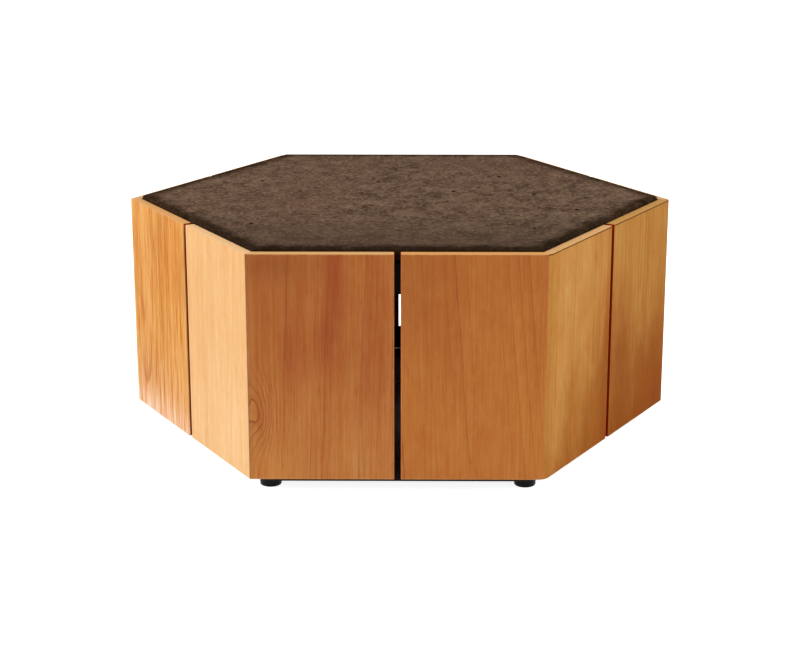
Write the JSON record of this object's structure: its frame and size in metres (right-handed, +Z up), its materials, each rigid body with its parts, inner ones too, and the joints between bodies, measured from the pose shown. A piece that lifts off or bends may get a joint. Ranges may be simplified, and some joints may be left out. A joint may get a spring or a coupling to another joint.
{
  "type": "hexagonal side table",
  "caption": "Low hexagonal patio side table: a dark cast slab set loose in a ring of upright wooden boards, on a folded steel frame with levelling feet.",
  "frame": {"origin": "on the floor under the middle of the table", "axes": "+Z up, the front side faces -Y, two of the corners lie on the X axis"},
  "size_m": [0.939, 0.814, 0.401],
  "materials": {
    "slab": "cast, brown-grey, matt, darker towards its edge",
    "board": "oiled teak-like hardwood, upright grain",
    "frame": "black powder coat on folded steel",
    "foot_pad": "moulded black plastic",
    "zinc": "zinc-plated steel",
    "bumper": "black rubber"
  },
  "bodies": {
    "frame": {"front_board_left": "board", "front_board_right": "board", "front_top_rail": "frame", "front_mid_rail": "frame", "front_bottom_rail": "frame", "right_front_board_left": "board", "right_front_board_right": "board", "right_front_top_rail": "frame", "right_front_mid_rail": "frame", "right_front_bottom_rail": "frame", "right_rear_board_left": "board", "right_rear_board_right": "board", "right_rear_top_rail": "frame", "right_rear_mid_rail": "frame", "right_rear_bottom_rail": "frame", "rear_board_left": "board", "rear_board_right": "board", "rear_top_rail": "frame", "rear_mid_rail": "frame", "rear_bottom_rail": "frame", "left_rear_board_left": "board", "left_rear_board_right": "board", "left_rear_top_rail": "frame", "left_rear_mid_rail": "frame", "left_rear_bottom_rail": "frame", "left_front_board_left": "board", "left_front_board_right": "board", "left_front_top_rail": "frame", "left_front_mid_rail": "frame", "left_front_bottom_rail": "frame", "front_right_corner_post": "frame", "right_corner_post": "frame", "rear_right_corner_post": "frame", "rear_left_corner_post": "frame", "left_corner_post": "frame", "front_left_corner_post": "frame", "left_slab_bearer": "frame", "right_slab_bearer": "frame", "foot_plates": "frame", "foot_nuts": "zinc", "slab_bumpers": "bumper", "top_rail_screws": "zinc", "bottom_rail_screws": "zinc"},
    "slab": {"top_slab": "slab"},
    "front_right_pad": {"front_right_foot_pad": "foot_pad"},
    "front_right_stem": {"front_right_foot_stem": "zinc"},
    "right_pad": {"right_foot_pad": "foot_pad"},
    "right_stem": {"right_foot_stem": "zinc"},
    "rear_right_pad": {"rear_right_foot_pad": "foot_pad"},
    "rear_right_stem": {"rear_right_foot_stem": "zinc"},
    "rear_left_pad": {"rear_left_foot_pad": "foot_pad"},
    "rear_left_stem": {"rear_left_foot_stem": "zinc"},
    "left_pad": {"left_foot_pad": "foot_pad"},
    "left_stem": {"left_foot_stem": "zinc"},
    "front_left_pad": {"front_left_foot_pad": "foot_pad"},
    "front_left_stem": {"front_left_foot_stem": "zinc"}
  },
  "joints": [
    {"name": "slab_lift", "type": "slide", "parent": "frame", "child": "slab", "axis": [0, 0, 1], "range_m": [0, 0.1]},
    {"name": "front_right_foot_height", "type": "slide", "parent": "frame", "child": "front_right_pad", "axis": [0, 0, 1], "range_m": [-0.012, 0]},
    {"name": "front_right_stem_turn", "type": "hinge", "parent": "front_right_pad", "child": "front_right_stem", "pos_m": [0.20553, -0.35599, 0], "axis": [0, 0, 1], "range_deg": [-2880, 0]},
    {"name": "right_foot_height", "type": "slide", "parent": "frame", "child": "right_pad", "axis": [0, 0, 1], "range_m": [-0.012, 0]},
    {"name": "right_stem_turn", "type": "hinge", "parent": "right_pad", "child": "right_stem", "pos_m": [0.41106, 0, 0], "axis": [0, 0, 1], "range_deg": [-2880, 0]},
    {"name": "rear_right_foot_height", "type": "slide", "parent": "frame", "child": "rear_right_pad", "axis": [0, 0, 1], "range_m": [-0.012, 0]},
    {"name": "rear_right_stem_turn", "type": "hinge", "parent": "rear_right_pad", "child": "rear_right_stem", "pos_m": [0.20553, 0.35599, 0], "axis": [0, 0, 1], "range_deg": [-2880, 0]},
    {"name": "rear_left_foot_height", "type": "slide", "parent": "frame", "child": "rear_left_pad", "axis": [0, 0, 1], "range_m": [-0.012, 0]},
    {"name": "rear_left_stem_turn", "type": "hinge", "parent": "rear_left_pad", "child": "rear_left_stem", "pos_m": [-0.20553, 0.35599, 0], "axis": [0, 0, 1], "range_deg": [-2880, 0]},
    {"name": "left_foot_height", "type": "slide", "parent": "frame", "child": "left_pad", "axis": [0, 0, 1], "range_m": [-0.012, 0]},
    {"name": "left_stem_turn", "type": "hinge", "parent": "left_pad", "child": "left_stem", "pos_m": [-0.41106, 0, 0], "axis": [0, 0, 1], "range_deg": [-2880, 0]},
    {"name": "front_left_foot_height", "type": "slide", "parent": "frame", "child": "front_left_pad", "axis": [0, 0, 1], "range_m": [-0.012, 0]},
    {"name": "front_left_stem_turn", "type": "hinge", "parent": "front_left_pad", "child": "front_left_stem", "pos_m": [-0.20553, -0.35599, 0], "axis": [0, 0, 1], "range_deg": [-2880, 0]}
  ],
  "couplings": [
    {"joint": "front_right_stem_turn", "follows": "front_right_foot_height", "rad_per_m": 4188.8},
    {"joint": "right_stem_turn", "follows": "right_foot_height", "rad_per_m": 4188.8},
    {"joint": "rear_right_stem_turn", "follows": "rear_right_foot_height", "rad_per_m": 4188.8},
    {"joint": "rear_left_stem_turn", "follows": "rear_left_foot_height", "rad_per_m": 4188.8},
    {"joint": "left_stem_turn", "follows": "left_foot_height", "rad_per_m": 4188.8},
    {"joint": "front_left_stem_turn", "follows": "front_left_foot_height", "rad_per_m": 4188.8}
  ]
}
